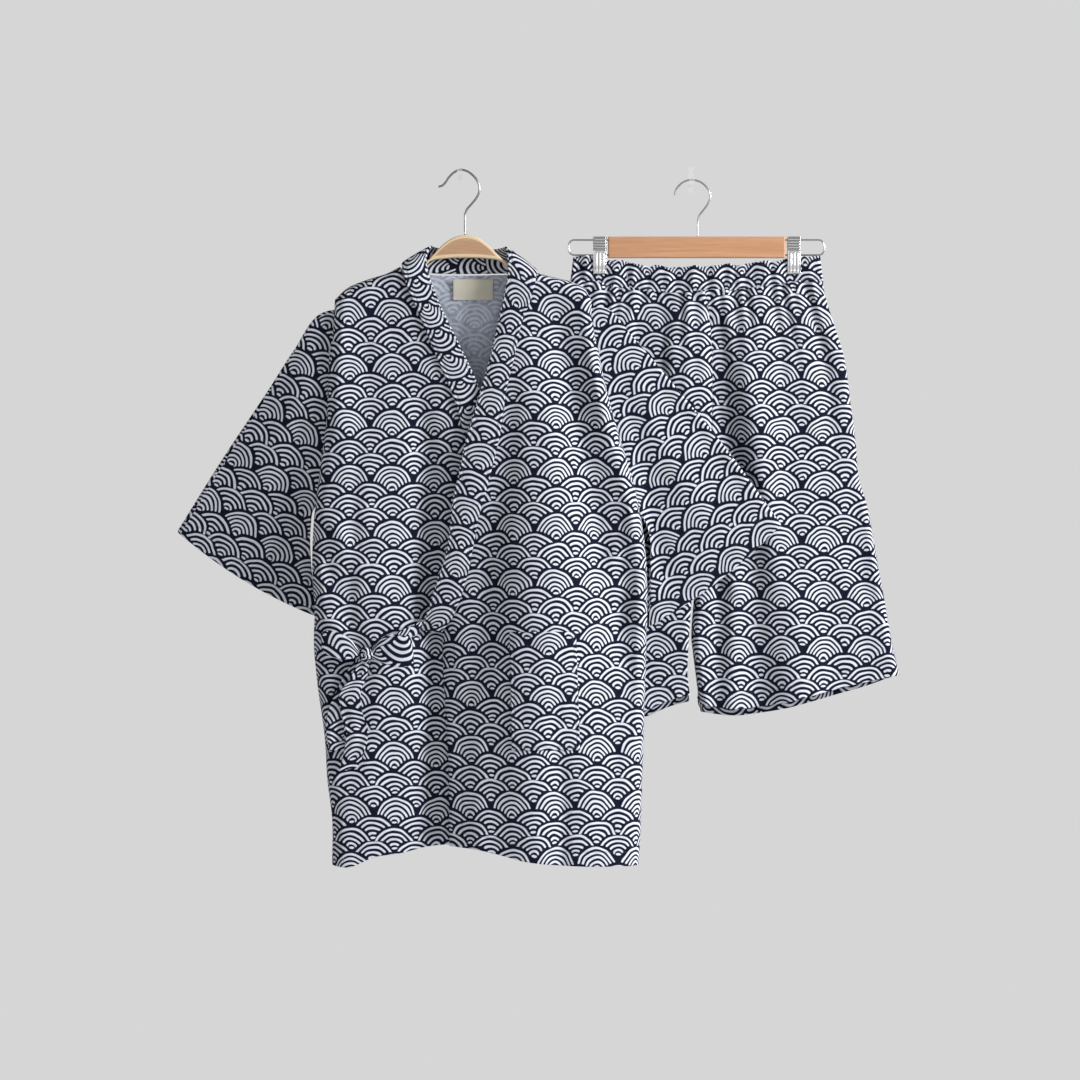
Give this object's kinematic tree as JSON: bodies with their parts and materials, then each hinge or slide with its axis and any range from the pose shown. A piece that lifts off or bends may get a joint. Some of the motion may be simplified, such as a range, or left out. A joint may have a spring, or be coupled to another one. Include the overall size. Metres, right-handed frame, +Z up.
{
  "type": "jinbei set on hangers",
  "caption": "Kimono-collared short-sleeved cotton jacket on a wooden hanger and matching knee-length shorts clipped to a wooden bar hanger, each hanging from a wall hook.",
  "frame": {"origin": "inner top of the jacket hanger's hook, where it rests on its wall hook", "axes": "+X to the right for someone facing the garments, which is the wearer's left, +Z up, -Y out of the garments' fronts and +Y into the wall"},
  "size_m": [0.9082, 0.1226, 0.8881],
  "materials": {
    "printed_cotton": "plain-woven cotton, navy ground with white wave pattern",
    "label_cloth": "plain woven tape, cream",
    "hanger_wood": "satin varnish",
    "hook_steel": "polished plating",
    "clip_chrome": "polished plating",
    "clear_plastic": "clear, glossy"
  },
  "bodies": {
    "root": {"clip_left_back": "clip_chrome", "clip_left_front": "clip_chrome", "clip_right_back": "clip_chrome", "clip_right_front": "clip_chrome", "jacket_back": "printed_cotton", "jacket_collar": "printed_cotton", "jacket_front_over": "printed_cotton", "jacket_front_under": "printed_cotton", "jacket_hanger_hook": "hook_steel", "jacket_hanger_wood": "hanger_wood", "neck_label": "label_cloth", "patch_pocket": "printed_cotton", "shorts_back_left": "printed_cotton", "shorts_back_right": "printed_cotton", "shorts_front_left": "printed_cotton", "shorts_front_right": "printed_cotton", "shorts_hanger_bar": "hanger_wood", "shorts_hanger_hook": "hook_steel", "shorts_hanger_wire_left": "hook_steel", "shorts_hanger_wire_right": "hook_steel", "shorts_waistband": "printed_cotton", "sleeve_left": "printed_cotton", "sleeve_right": "printed_cotton", "tie_knot": "printed_cotton", "tie_loop_left": "printed_cotton", "tie_loop_right": "printed_cotton", "tie_strap": "printed_cotton", "tie_tail_long": "printed_cotton", "tie_tail_short": "printed_cotton", "wall_hook_jacket": "clear_plastic", "wall_hook_shorts": "clear_plastic"}
  },
  "joints": []
}
